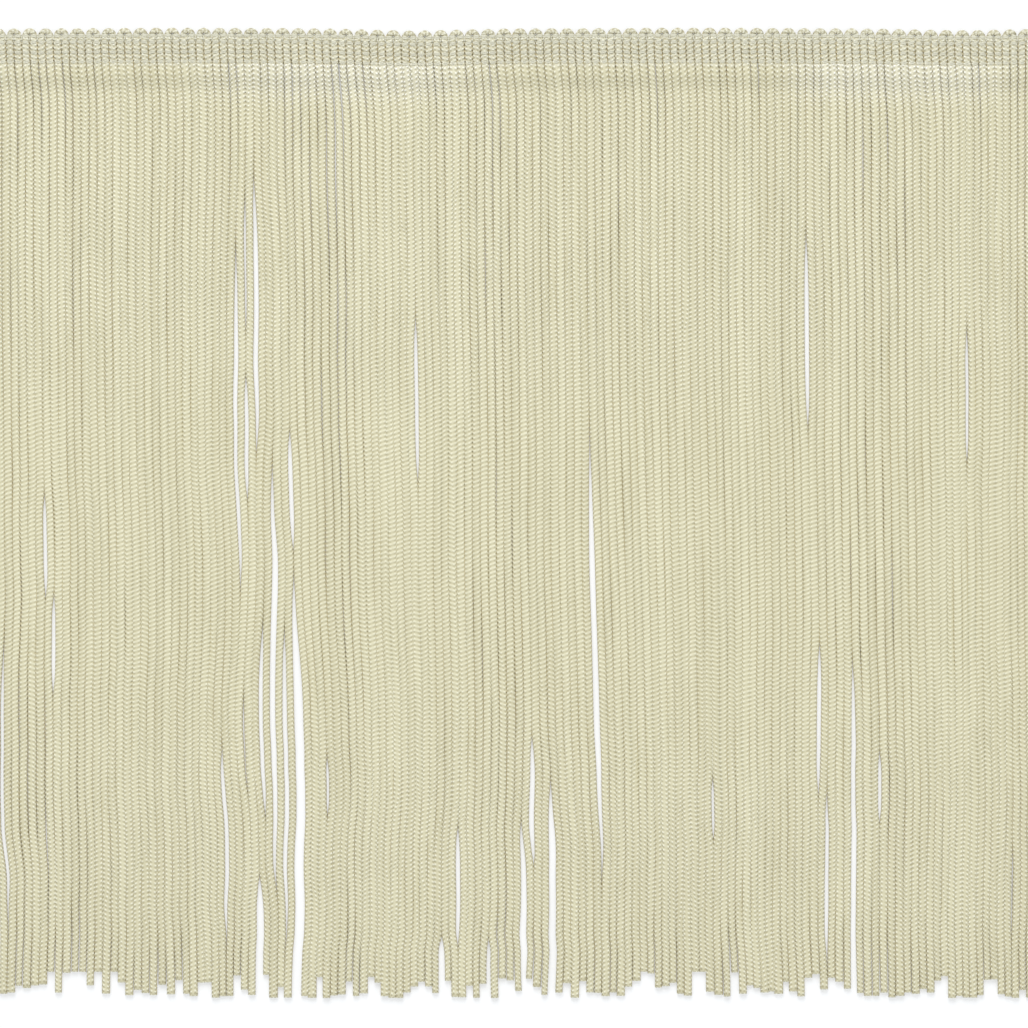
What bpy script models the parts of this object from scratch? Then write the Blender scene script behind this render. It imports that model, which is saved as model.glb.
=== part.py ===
"""A cut length of chainette fringe trim, lying flat and face up.

Chainette, a fine knitted cord, is laid to and fro in loops. Four rows of binding thread hold the loops
side by side as a heading with a scalloped edge, and below it the cut strands lie as a fringe.

Units are metres. +X runs along the trim, +Y points from the fringe up to the heading, and +Z points out
of the surface that the trim lies on. The origin is the middle of its footprint on that surface.
"""

from typing import NamedTuple

import bmesh
import bpy
import numpy as np

MM = 0.001

# The trim.
LOOPS = 66  # loops of chainette side by side, each giving two strands
STRANDS = 2 * LOOPS
STRAND_PITCH = 1.9355 * MM
HEADING_DEPTH = 8.9 * MM  # from the tops of the loops to the foot of the heading
DROP = 228.6 * MM  # from the foot of the heading to the cut line
TOP = (HEADING_DEPTH + DROP) / 2  # where the loop tops lie along Y
HEADING_FOOT = TOP - HEADING_DEPTH

# The strands' solids: bars a little narrower than the cord, so that slots stay open between them.
BAR_WIDTH = 1.4 * MM
BAR_THICKNESS = 1.6 * MM
LEAST_SPACING = 1.72 * MM  # no two strands' centre lines come closer
BAR_BENDS = [3 * MM, 50 * MM, 105 * MM, 165 * MM]  # depths below the heading where a bar may bend
ROOT_DEPTH = 0.4 * MM  # the heading's solid reaches this far below its foot

# The heading's solid, raised by the binding thread that passes under it.
HEADING_UNDERSIDE = 0.65 * MM
HEADING_FACE = 1.65 * MM
SCALLOP_RISE = 1.3 * MM

# The binding rows, each a flat sleeve of thread round the heading.
ROW_DEPTHS = [1.95 * MM, 3.5 * MM, 6.0 * MM, 8.35 * MM]  # below the tops of the loops
ROW_WIDTH = 0.8 * MM
THREAD_THICKNESS = 0.35 * MM
CLEARANCE = 0.3 * MM

# How unevenly the strands were cut.
CUT_SEED = 24
FULL_LENGTH_SHARE = 0.46
SHORTEST_BY = 6.4 * MM

SLIT_REACH = 24 * MM  # a slit's strands crowd their neighbours over about this distance
SLIT_TAPER = 0.42  # share of a slit's length over which it opens, and again over which it closes


class Lean(NamedTuple):
    """A stretch where the strands drift sideways. All in millimetres."""

    x: float  # middle of the strands that drift
    reach: float  # how far from there the drift fades
    start: float  # depth below the heading where it begins
    end: float  # depth where it is complete
    shift: float  # how far, towards +X


class Slit(NamedTuple):
    """A long gap that opens between two strands. All but the first in millimetres."""

    after: int  # the strand on its left, counted from 0 at the trim's left end
    start: float  # depth below the heading where it opens
    end: float  # depth where it has closed
    width: float  # at its widest


class Short(NamedTuple):
    """A stretch of the trim where the strands end higher. All in millimetres."""

    x: float
    reach: float
    by: float


LEANS = [
    Lean(x=0, reach=900, start=0, end=14, shift=0.85),
    Lean(x=-57, reach=12, start=0, end=10, shift=-0.5),
    Lean(x=72, reach=14, start=0, end=10, shift=-0.5),
    Lean(x=-38, reach=12, start=2, end=20, shift=0.6),
    Lean(x=99, reach=12, start=2, end=20, shift=0.6),
    Lean(x=3, reach=10, start=0, end=8, shift=0.3),
    Lean(x=0, reach=900, start=26, end=175, shift=1.5),
    Lean(x=128, reach=20, start=10, end=175, shift=-2.2),
    Lean(x=107, reach=18, start=175, end=229, shift=-0.4),
    Lean(x=-100, reach=20, start=170, end=200, shift=0.6),
    Lean(x=-83, reach=7, start=205, end=229, shift=0.8),
    Lean(x=54, reach=7, start=205, end=229, shift=0.8),
    Lean(x=22, reach=22, start=100, end=190, shift=1.3),
    Lean(x=-62, reach=20, start=95, end=125, shift=0.5),
    Lean(x=-6, reach=10, start=200, end=229, shift=-0.8),
    Lean(x=-68, reach=8, start=50, end=90, shift=-0.5),
    Lean(x=-62, reach=18, start=160, end=185, shift=1.1),
    Lean(x=-125, reach=9, start=130, end=160, shift=-1.1),
    Lean(x=-125, reach=9, start=186, end=200, shift=1.3),
]

OPEN = 400  # a slit that ends here stays open to the cut line
SLITS = [
    Slit(after=0, start=138, end=216, width=0.7),
    Slit(after=5, start=108, end=130, width=0.6),
    Slit(after=6, start=130, end=150, width=0.6),
    Slit(after=28, start=165, end=215, width=0.9),
    Slit(after=30, start=40, end=138, width=1.0),
    Slit(after=31, start=30, end=60, width=0.5),
    Slit(after=31, start=74, end=108, width=0.8),
    Slit(after=31, start=150, end=186, width=0.5),
    Slit(after=32, start=32, end=92, width=1.2),
    Slit(after=32, start=196, end=OPEN, width=1.6),
    Slit(after=33, start=136, end=190, width=0.9),
    Slit(after=34, start=86, end=206, width=1.3),
    Slit(after=35, start=137, end=226, width=1.0),
    Slit(after=36, start=90, end=118, width=0.9),
    Slit(after=36, start=128, end=OPEN, width=2.3),
    Slit(after=39, start=170, end=184, width=0.6),
    Slit(after=52, start=60, end=98, width=0.7),
    Slit(after=55, start=212, end=OPEN, width=1.2),
    Slit(after=57, start=190, end=217, width=0.7),
    Slit(after=61, start=212, end=OPEN, width=0.8),
    Slit(after=65, start=188, end=228, width=1.0),
    Slit(after=66, start=172, end=192, width=1.0),
    Slit(after=68, start=180, end=OPEN, width=1.5),
    Slit(after=74, start=93, end=205, width=1.2),
    Slit(after=89, start=174, end=190, width=0.6),
    Slit(after=102, start=49, end=89, width=0.6),
    Slit(after=103, start=143, end=178, width=0.6),
    Slit(after=104, start=178, end=216, width=0.5),
    Slit(after=107, start=165, end=OPEN, width=0.9),
    Slit(after=110, start=170, end=184, width=0.6),
    Slit(after=122, start=62, end=97, width=0.6),
    Slit(after=128, start=189, end=217, width=0.6),
]

SHORTS = [
    Short(x=-110, reach=26, by=4.6),
    Short(x=52, reach=24, by=3.0),
    Short(x=76, reach=7, by=1.0),
]


def smooth_step(value, start, end):
    """0 up to start, 1 from end, and a smooth rise between them."""
    share = np.clip((value - start) / (end - start), 0, 1)
    return share * share * (3 - 2 * share)


def homes():
    """Where each strand leaves the heading, along X."""
    return (np.arange(STRANDS) - (STRANDS - 1) / 2) * STRAND_PITCH


def drift(home, depth):
    """How far the leans move strands at a depth below the heading."""
    moved = np.zeros(STRANDS)
    for lean in LEANS:
        fade = np.exp(-(((home - lean.x * MM) / (lean.reach * MM)) ** 2))
        moved += lean.shift * MM * fade * smooth_step(depth, lean.start * MM, lean.end * MM)
    return moved


def parting(home, depth):
    """How far the slits push strands aside at a depth below the heading."""
    moved = np.zeros(STRANDS)
    for slit in SLITS:
        start = slit.start * MM
        end = slit.end * MM
        taper = SLIT_TAPER * (min(end, DROP) - start)
        opening = smooth_step(depth, start, start + taper) * (1 - smooth_step(depth, end - taper, end))
        away = home - (slit.after + 0.5 - (STRANDS - 1) / 2) * STRAND_PITCH
        moved += np.sign(away) * slit.width * MM / 2 * opening * np.exp(-np.abs(away) / SLIT_REACH)
    return moved


def strand_places(depth):
    """Where the strands' centre lines cross a line along X, at a depth below the heading."""
    home = homes()
    wanted = home + drift(home, depth) + parting(home, depth)
    spacing = np.maximum(np.diff(wanted), LEAST_SPACING)
    placed = wanted[0] + np.concatenate([[0], np.cumsum(spacing)])
    return placed - np.mean(placed - wanted)


def strand_lengths():
    """How far each strand reaches below the heading's foot."""
    draw = np.random.default_rng(CUT_SEED).random(STRANDS)
    uneven = np.clip((draw - FULL_LENGTH_SHARE) / (1 - FULL_LENGTH_SHARE), 0, 1)
    short = SHORTEST_BY * uneven**1.3
    for stretch in SHORTS:
        fade = np.exp(-(((homes() - stretch.x * MM) / (stretch.reach * MM)) ** 2))
        short += stretch.by * MM * fade * draw
    return DROP - np.minimum(short, SHORTEST_BY)


def material(name, colour, roughness):
    """A plain, non-metallic finish."""
    made = bpy.data.materials.new(name)
    made.use_nodes = True
    shader = made.node_tree.nodes["Principled BSDF"]
    shader.inputs["Base Color"].default_value = (*colour, 1)
    shader.inputs["Roughness"].default_value = roughness
    shader.inputs["Metallic"].default_value = 0
    return made


def add_object(name, mesh_source, finish):
    """Turn a finished bmesh into a named object."""
    bmesh.ops.recalc_face_normals(mesh_source, faces=mesh_source.faces[:])
    mesh = bpy.data.meshes.new(name)
    mesh_source.to_mesh(mesh)
    mesh_source.free()
    made = bpy.data.objects.new(name, mesh)
    made.data.materials.append(finish)
    bpy.context.scene.collection.objects.link(made)
    return made


def thicken(plan, underside):
    """Give a flat plan, drawn at its face's height, a back at the height underside(vertex), and walls."""
    made = bmesh.ops.extrude_face_region(plan, geom=plan.faces[:], use_keep_orig=True)
    for part in made["geom"]:
        if isinstance(part, bmesh.types.BMVert):
            part.co.z = underside(part)


def scallop_height(away):
    """Height of a loop's rounded top, away from the loop's middle along X."""
    half = (STRAND_PITCH + BAR_WIDTH) / 2
    return TOP - SCALLOP_RISE * (1 - np.sqrt(max(0, 1 - (away / half) ** 2)))


def heading_plan(plan):
    """The heading's plan: a strip whose upper edge is a row of rounded loops. Gives the bars' roots."""
    root_y = HEADING_FOOT - ROOT_DEPTH
    places = homes()
    columns = []
    for strand, place in enumerate(places):
        loop_middle = (places[strand - strand % 2] + places[strand - strand % 2 + 1]) / 2
        for side in (-1, 0, 1):
            x = place + side * BAR_WIDTH / 2
            low = plan.verts.new((x, root_y, HEADING_FACE))
            high = plan.verts.new((x, scallop_height(x - loop_middle), HEADING_FACE))
            columns.append((low, high))
    for (low, high), (next_low, next_high) in zip(columns, columns[1:]):
        plan.faces.new((low, next_low, next_high, high))
    lows = [low for low, _ in columns]
    return [lows[3 * strand : 3 * strand + 3] for strand in range(STRANDS)]


def bar_plan(plan, root, places, depths):
    """One strand's plan: a strip from its root in the heading down to its cut end."""
    last = root
    for place, depth in zip(places, depths):
        y = HEADING_FOOT - depth
        left = plan.verts.new((place - BAR_WIDTH / 2, y, BAR_THICKNESS))
        right = plan.verts.new((place + BAR_WIDTH / 2, y, BAR_THICKNESS))
        plan.faces.new((left, right, *reversed(last)))
        last = [left, right]


def fringe_comb(finish):
    """All of the chainette: the heading, with the strands below it, as one comb."""
    plan = bmesh.new()
    roots = heading_plan(plan)
    bends = [strand_places(depth) for depth in BAR_BENDS]
    for strand, (root, length) in enumerate(zip(roots, strand_lengths())):
        places = [bend[strand] for bend in bends] + [strand_places(length)[strand]]
        bar_plan(plan, root, places, [*BAR_BENDS, length])
    heading_end = HEADING_FOOT - ROOT_DEPTH - CLEARANCE
    thicken(plan, lambda vertex: HEADING_UNDERSIDE if vertex.co.y > heading_end else 0)
    return add_object("fringe_comb", plan, finish)


def binding_row(number, depth, finish):
    """One row of binding thread: a flat sleeve that runs over the heading and back under it."""
    inner_x = homes()[-1] + BAR_WIDTH / 2 + CLEARANCE
    outer_x = inner_x + THREAD_THICKNESS
    inner_low = THREAD_THICKNESS
    inner_high = HEADING_FACE + CLEARANCE
    outer_high = inner_high + THREAD_THICKNESS
    upper_y = TOP - depth + ROW_WIDTH / 2
    corners = [(-1, 0), (1, 0), (1, 1), (-1, 1)]
    sleeve = bmesh.new()
    outer = [sleeve.verts.new((x * outer_x, upper_y, z * outer_high)) for x, z in corners]
    inner = [
        sleeve.verts.new((x * inner_x, upper_y, inner_high if z else inner_low)) for x, z in corners
    ]
    for side in range(4):
        following = (side + 1) % 4
        sleeve.faces.new((outer[side], outer[following], inner[following], inner[side]))
    made = bmesh.ops.extrude_face_region(sleeve, geom=sleeve.faces[:], use_keep_orig=True)
    lower = [part for part in made["geom"] if isinstance(part, bmesh.types.BMVert)]
    bmesh.ops.translate(sleeve, verts=lower, vec=(0, -ROW_WIDTH, 0))
    return add_object(f"binding_row_{number}", sleeve, finish)


def clear_scene():
    """Empty the scene."""
    for old in list(bpy.data.objects):
        bpy.data.objects.remove(old)


def main():
    """Build the trim."""
    clear_scene()
    cord = material("chainette_cream", colour=(0.69, 0.665, 0.47), roughness=0.45)
    thread = material("binding_thread_ivory", colour=(0.66, 0.645, 0.51), roughness=0.5)
    fringe_comb(cord)
    for number, depth in enumerate(ROW_DEPTHS, start=1):
        binding_row(number, depth, thread)


main()
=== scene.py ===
"""Looks of a cut length of chainette fringe trim, lying flat and face up.

Chainette is a fine tubular knit. Each strand here is such a tube, with every stitch modelled, laid along
the way that its solid takes (FringeStrands). Loops of it stand side by side as the heading (HeadingLoops),
bound by four rows of thread (BindingRow). Lengths are in metres, or in millimetres where a docstring says
so.
"""

import logging
import math
from dataclasses import dataclass, field, replace
from enum import Enum
from typing import NamedTuple

import bpy
import numpy as np
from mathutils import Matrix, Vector


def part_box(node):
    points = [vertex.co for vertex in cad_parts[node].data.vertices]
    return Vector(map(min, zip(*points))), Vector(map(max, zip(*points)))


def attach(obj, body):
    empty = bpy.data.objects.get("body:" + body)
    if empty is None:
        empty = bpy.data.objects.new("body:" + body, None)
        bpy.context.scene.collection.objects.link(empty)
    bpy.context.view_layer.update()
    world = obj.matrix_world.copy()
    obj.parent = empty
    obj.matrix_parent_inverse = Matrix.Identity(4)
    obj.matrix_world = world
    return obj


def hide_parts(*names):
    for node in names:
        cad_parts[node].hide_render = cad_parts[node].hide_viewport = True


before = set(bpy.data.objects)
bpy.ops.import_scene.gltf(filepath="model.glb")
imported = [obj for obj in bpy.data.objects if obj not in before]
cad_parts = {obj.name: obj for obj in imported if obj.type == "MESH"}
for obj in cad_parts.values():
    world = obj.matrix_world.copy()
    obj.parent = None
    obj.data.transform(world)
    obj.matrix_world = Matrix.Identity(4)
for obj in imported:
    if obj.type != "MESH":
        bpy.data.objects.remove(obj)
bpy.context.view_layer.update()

MM = 0.001
LOG = logging.getLogger("fringe")
ROW_NUMBERS = (1, 2, 3, 4)

Array = np.ndarray
Colour = tuple[float, float, float, float]


class Slot(Enum):
    """The record's material slots."""

    CORD = "chainette"
    THREAD = "binding_thread"


class Lean(NamedTuple):
    """A stretch where the strands drift sideways, in millimetres.

    Attributes:
        x: Its middle along the trim.
        reach: How far from there the drift falls off.
        start: Depth below the heading's foot where the drift begins.
        end: Depth where it is whole.
        shift: The drift, toward +X.
    """

    x: float
    reach: float
    start: float
    end: float
    shift: float


class Slit(NamedTuple):
    """A long gap between two strands, in millimetres.

    Attributes:
        after: The strand before it, counted from 0 at the left end.
        start: Depth below the heading's foot where it opens.
        end: Depth where it closes, or OPEN.
        width: How far its neighbours are pushed apart.
    """

    after: int
    start: float
    end: float
    width: float


class Stretch(NamedTuple):
    """A stretch of the trim where something differs, in millimetres.

    Attributes:
        x: Its middle along the trim.
        reach: How far from there it falls off.
        by: How much it differs in the middle.
    """

    x: float
    reach: float
    by: float


MIDDLE_OF_A_LEG = [0.25, 0.0]  # the cut ends' place on the stitch map
OPEN = 400  # past every cut end
LEANS = [
    Lean(0, 900, -6, 12, 0.95),
    Lean(128, 12, -6, 12, -0.95),
    Lean(-57, 12, 0, 10, -0.5),
    Lean(72, 14, 0, 10, -0.5),
    Lean(-38, 12, 2, 20, 0.6),
    Lean(99, 12, 2, 20, 0.6),
    Lean(3, 10, 0, 8, 0.3),
    Lean(0, 900, 26, 175, 1.5),
    Lean(128, 20, 10, 175, -2.2),
    Lean(107, 18, 175, 229, -0.4),
    Lean(-100, 20, 170, 200, 0.6),
    Lean(-83, 7, 205, 229, 0.8),
    Lean(54, 7, 205, 229, 0.8),
    Lean(22, 22, 100, 190, 1.3),
    Lean(-62, 20, 95, 125, 0.5),
    Lean(-6, 10, 200, 229, -0.8),
    Lean(-68, 8, 50, 90, -0.5),
    Lean(-62, 18, 160, 185, 1.1),
    Lean(-125, 9, 130, 160, -1.1),
    Lean(-125, 9, 186, 200, 1.3),
]
SLITS = [
    Slit(0, 134, 220, 0.7),
    Slit(5, 100, 134, 0.8),
    Slit(6, 126, 156, 0.7),
    Slit(28, 158, 222, 1.0),
    Slit(30, 28, 144, 0.95),
    Slit(31, 24, 76, 0.6),
    Slit(31, 70, 112, 0.8),
    Slit(31, 146, 190, 0.5),
    Slit(32, 18, 104, 1.05),
    Slit(32, 196, OPEN, 1.6),
    Slit(33, 132, 194, 0.9),
    Slit(34, 84, 214, 1.4),
    Slit(35, 128, 230, 1.1),
    Slit(36, 86, 122, 0.9),
    Slit(36, 120, OPEN, 2.3),
    Slit(39, 166, 188, 0.6),
    Slit(52, 54, 112, 0.8),
    Slit(55, 212, OPEN, 1.2),
    Slit(57, 182, 222, 0.9),
    Slit(61, 212, OPEN, 0.8),
    Slit(65, 180, 232, 1.1),
    Slit(66, 160, 200, 1.0),
    Slit(68, 172, OPEN, 1.5),
    Slit(74, 78, 212, 1.3),
    Slit(89, 170, 194, 0.6),
    Slit(102, 34, 98, 0.9),
    Slit(103, 136, 186, 0.8),
    Slit(104, 170, 226, 0.7),
    Slit(107, 138, OPEN, 1.0),
    Slit(110, 166, 188, 0.6),
    Slit(122, 56, 108, 0.8),
    Slit(128, 185, 221, 0.6),
]
# Where the strands end higher.
SHORTS = [
    Stretch(-110, 26, 4.6),
    Stretch(52, 24, 3.0),
    Stretch(76, 7, 1.0),
]
# Where the heading lies lower.
SAGS = [
    Stretch(-24, 15, 0.5),
    Stretch(110, 16, 0.38),
    Stretch(-77, 32, -0.2),
    Stretch(44, 38, -0.2),
]
SAG_FROM, SAG_TO = 50 * MM, 108 * MM  # heights along Y between which a sag comes in


def bell(value: Array, middle: float, reach: float) -> Array:
    """A smooth hump: the exponential of minus the square of the distance from its middle, in reaches."""
    return np.exp(-(((value - middle) / reach) ** 2))


def smooth_step(value: Array, start: float, end: float) -> Array:
    """Rise smoothly from 0 to 1.

    Args:
        value: Where to read the step.
        start: The value up to which it is 0.
        end: The value from which it is 1.

    Returns:
        The cubic 3 s^2 - 2 s^3 of the share s of the way from start to end.
    """
    share = np.clip((value - start) / (end - start), 0, 1)
    return share * share * (3 - 2 * share)


def sagged(points: Array) -> Array:
    """Let the heading wander a little, as it lies.

    Args:
        points: Points of a straight trim, shape (n, 3).

    Returns:
        The points, moved down by the sum of the sags' bells over X, whole at the heading and
        fading out down the strands.
    """
    across, up = points[:, 0], points[:, 1]
    depth = sum(sag.by * MM * bell(across, sag.x * MM, sag.reach * MM) for sag in SAGS)
    return points - np.stack([0 * up, depth * smooth_step(up, SAG_FROM, SAG_TO), 0 * up], axis=-1)


def waves(along: Array, lengths: tuple[float, ...], phases: Array) -> Array:
    """Smooth random wandering, one row for each cord.

    Args:
        along: Distances along the cords, shape (n,).
        lengths: The wavelengths that are added up.
        phases: A phase for each cord and wavelength, shape (cords, wavelengths).

    Returns:
        The mean of the sines of the wavelengths, shape (cords, n), between -1 and 1.
    """
    turns = along[None, None, :] / np.array(lengths)[None, :, None]
    return np.sin(2 * np.pi * turns + phases[:, :, None]).mean(axis=1)


@dataclass
class Lay:
    """How the strands lie: their places across the trim, lengths and heights.

    Attributes:
        strands: How many strands there are.
        sleeve_margin: From the outermost strand's centre line to the end of a binding row's solid.
        least_spacing: Two strands' centre lines come no closer.
        full_share: Share of the strands that reach the cut line, but for the jitter.
        shortest_by: How much shorter the shortest strand is.
        unevenness: The power that makes most of the other strands only a little shorter.
        jitter: The most that every strand is shorter besides.
        cut_seed: Seed of the strands' lengths.
        slit_reach: How far a slit crowds its neighbours.
        slit_taper: Share of a slit's length over which it opens, and again over which it closes.
        heading_depth: From the tops of the loops to the heading's foot.
        wander: The most that a strand strays from its place.
        wander_lengths: Wavelengths of that straying.
        wander_from: Depth below the heading's foot at which it is whole.
        wander_seed: Seed of that straying.
        bound_height: Height of the cords' middle line in the heading.
        sinks: How much lower it is where a strand lies on the surface.
        arch: How much higher it is just below the heading.
        top: The tops of the loops, along Y.
        drop: How far the longest strand reaches below the heading's foot.
        pitch: Mean distance between strands.
        homes: The strands' even places along X.
        row_depths: Depths of the binding rows below the tops of the loops.
    """

    strands: int = 132
    sleeve_margin: float = 1.35 * MM
    least_spacing: float = 1.72 * MM
    full_share: float = 0.46
    shortest_by: float = 6.4 * MM
    unevenness: float = 1.3
    jitter: float = 1.5 * MM
    cut_seed: int = 24
    slit_reach: float = 24 * MM
    slit_taper: float = 0.36
    heading_depth: float = 8.9 * MM
    wander: float = 0.11 * MM
    wander_lengths: tuple[float, ...] = (210 * MM, 120 * MM, 64 * MM, 37 * MM)
    wander_from: float = 25 * MM
    wander_seed: int = 11
    bound_height: float = 1.15 * MM
    sinks: float = 0.61 * MM
    arch: float = 0.32 * MM
    top: float = field(init=False)
    drop: float = field(init=False)
    pitch: float = field(init=False)
    homes: Array = field(init=False)
    row_depths: list[float] = field(init=False)

    def __post_init__(self) -> None:
        """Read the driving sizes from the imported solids."""
        low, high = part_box("fringe_comb")
        self.top = high.y
        self.drop = high.y - self.heading_depth - low.y
        rows = [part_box(f"binding_row_{number}") for number in ROW_NUMBERS]
        self.row_depths = [self.top - (low.y + high.y) / 2 for low, high in rows]
        self.pitch = 2 * (rows[0][1].x - self.sleeve_margin) / (self.strands - 1)
        self.homes = (np.arange(self.strands) - (self.strands - 1) / 2) * self.pitch

    @property
    def foot(self) -> float:
        """Where the heading ends, along Y."""
        return self.top - self.heading_depth

    def _wanted(self, depth: Array) -> Array:
        """Where leans and slits would put the strands.

        Args:
            depth: Depths below the heading's foot, shape (n,).

        Returns:
            Places along X, shape (strands, n).
        """
        home = self.homes[:, None]
        depth = depth[None, :]
        place = home + np.zeros_like(depth)
        for lean in LEANS:
            fade = bell(home, lean.x * MM, lean.reach * MM)
            place = place + lean.shift * MM * fade * smooth_step(depth, lean.start * MM, lean.end * MM)
        for slit in SLITS:
            start, end = slit.start * MM, slit.end * MM
            taper = self.slit_taper * (min(end, self.drop) - start)
            opening = smooth_step(depth, start, start + taper)
            opening = opening * (1 - smooth_step(depth, end - taper, end))
            away = home - (slit.after + 0.5 - (self.strands - 1) / 2) * self.pitch
            push = np.sign(away) * slit.width * MM / 2 * np.exp(-np.abs(away) / self.slit_reach)
            place = place + push * opening
        return place

    def places(self, depth: Array) -> Array:
        """Where the strands' centre lines lie.

        Args:
            depth: Depths below the heading's foot, shape (n,).

        Returns:
            Places along X, shape (strands, n): the wanted ones, spread to the least spacing.
        """
        wanted = self._wanted(depth)
        chance = np.random.default_rng(self.wander_seed)
        phases = chance.uniform(0, 2 * np.pi, (self.strands, len(self.wander_lengths)))
        free = smooth_step(depth, 0, self.wander_from)
        wanted = wanted + self.wander * free * waves(depth, self.wander_lengths, phases)
        spacing = np.maximum(np.diff(wanted, axis=0), self.least_spacing)
        start = wanted[:1]
        placed = np.concatenate([start, start + np.cumsum(spacing, axis=0)])
        return placed - (placed - wanted).mean(axis=0, keepdims=True)

    def lengths(self) -> Array:
        """How far the strands reach, from seeded draws and the stretches that are shorter.

        Returns:
            Each strand's length below the heading's foot, shape (strands,).
        """
        draw = np.random.default_rng(self.cut_seed).random(self.strands)
        uneven = np.clip((draw - self.full_share) / (1 - self.full_share), 0, 1)
        short = self.shortest_by * uneven**self.unevenness
        short = short + self.jitter * np.random.default_rng(self.cut_seed + 1).random(self.strands) ** 2
        for stretch in SHORTS:
            fade = bell(self.homes, stretch.x * MM, stretch.reach * MM)
            short = short + stretch.by * MM * fade * draw
        return self.drop - np.minimum(short, self.shortest_by)

    def middle_height(self, depth: Array) -> Array:
        """Height of the cords' middle line, before their own lifts.

        They leave the heading at its height, arch a little, and come down to the surface: a smooth step
        down and a bell.

        Args:
            depth: Depths below the heading's foot, of any shape.

        Returns:
            The heights, of the same shape.
        """
        down = smooth_step(depth, 0.5 * MM, 7 * MM)
        arch = self.arch * bell(depth, 2.6 * MM, 2.2 * MM)
        return self.bound_height - self.sinks * down + arch


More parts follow.
